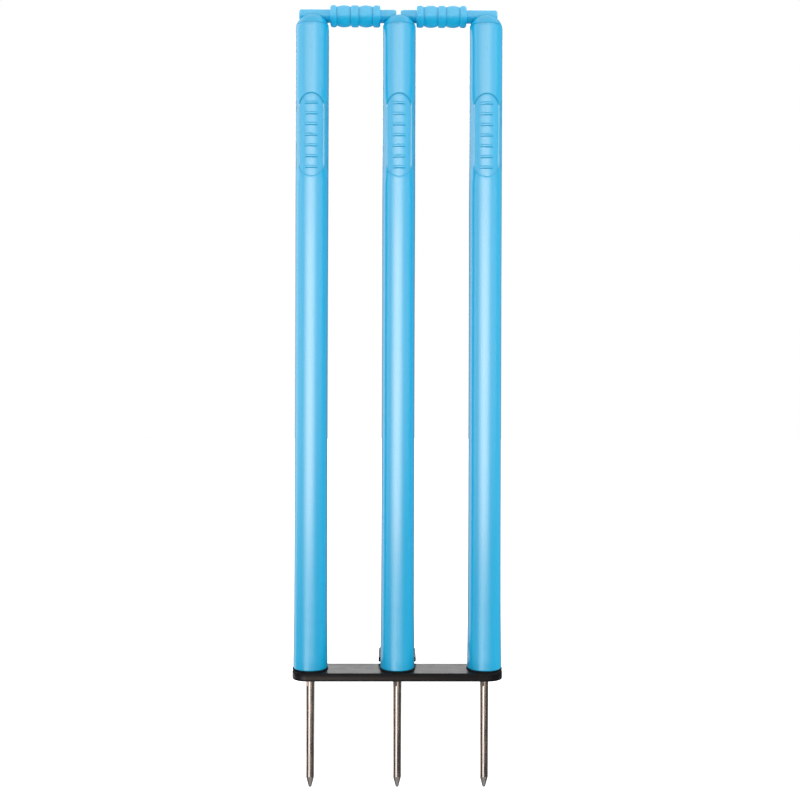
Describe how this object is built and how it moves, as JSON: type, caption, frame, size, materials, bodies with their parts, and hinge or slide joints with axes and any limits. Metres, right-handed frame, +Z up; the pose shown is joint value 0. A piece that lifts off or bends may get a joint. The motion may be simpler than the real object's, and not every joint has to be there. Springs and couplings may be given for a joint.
{
  "type": "cricket stumps",
  "caption": "Cricket wicket: domed plastic stumps in a row on a pressed base plate with ground spikes, a rear foot tread and lift-off turned bails.",
  "frame": {"origin": "on the centre spike's axis, level with the lower edge of the base plate, which is the ground's surface in use", "axes": "+Z up along the stumps; +X along the row of stumps to the right, seen from the front; the front with the moulded panels faces -Y"},
  "size_m": [0.2278, 0.097, 0.8505],
  "materials": {
    "blue_plastic": "satin moulded",
    "bail_plastic": "satin moulded",
    "plug_plastic": "moulded",
    "black_sheet": "satin powder coat",
    "black_rubber": "matt",
    "spike_steel": "bright drawn",
    "nut_steel": "zinc plated",
    "rivet_steel": "satin black",
    "insert_brass": "turned"
  },
  "bodies": {
    "root": {"base_plate": "black_sheet", "foot_tread": "black_sheet", "tread_rivets": "rivet_steel", "left_stump_tube": "blue_plastic", "centre_stump_tube": "blue_plastic", "right_stump_tube": "blue_plastic", "left_stump_cap": "blue_plastic", "centre_stump_cap": "blue_plastic", "right_stump_cap": "blue_plastic", "left_foot_plug": "plug_plastic", "centre_foot_plug": "plug_plastic", "right_foot_plug": "plug_plastic", "left_threaded_insert": "insert_brass", "centre_threaded_insert": "insert_brass", "right_threaded_insert": "insert_brass", "left_seat_washer": "black_rubber", "centre_seat_washer": "black_rubber", "right_seat_washer": "black_rubber", "left_plate_nut": "nut_steel", "centre_plate_nut": "nut_steel", "right_plate_nut": "nut_steel", "left_spike": "spike_steel", "centre_spike": "spike_steel", "right_spike": "spike_steel"},
    "left_bail": {"left_bail": "bail_plastic"},
    "right_bail": {"right_bail": "bail_plastic"}
  },
  "joints": [
    {"name": "left_bail_lift", "type": "slide", "parent": "root", "child": "left_bail", "axis": [0, 0, 1], "range_m": [0, 0.08]},
    {"name": "right_bail_lift", "type": "slide", "parent": "root", "child": "right_bail", "axis": [0, 0, 1], "range_m": [0, 0.08]}
  ]
}
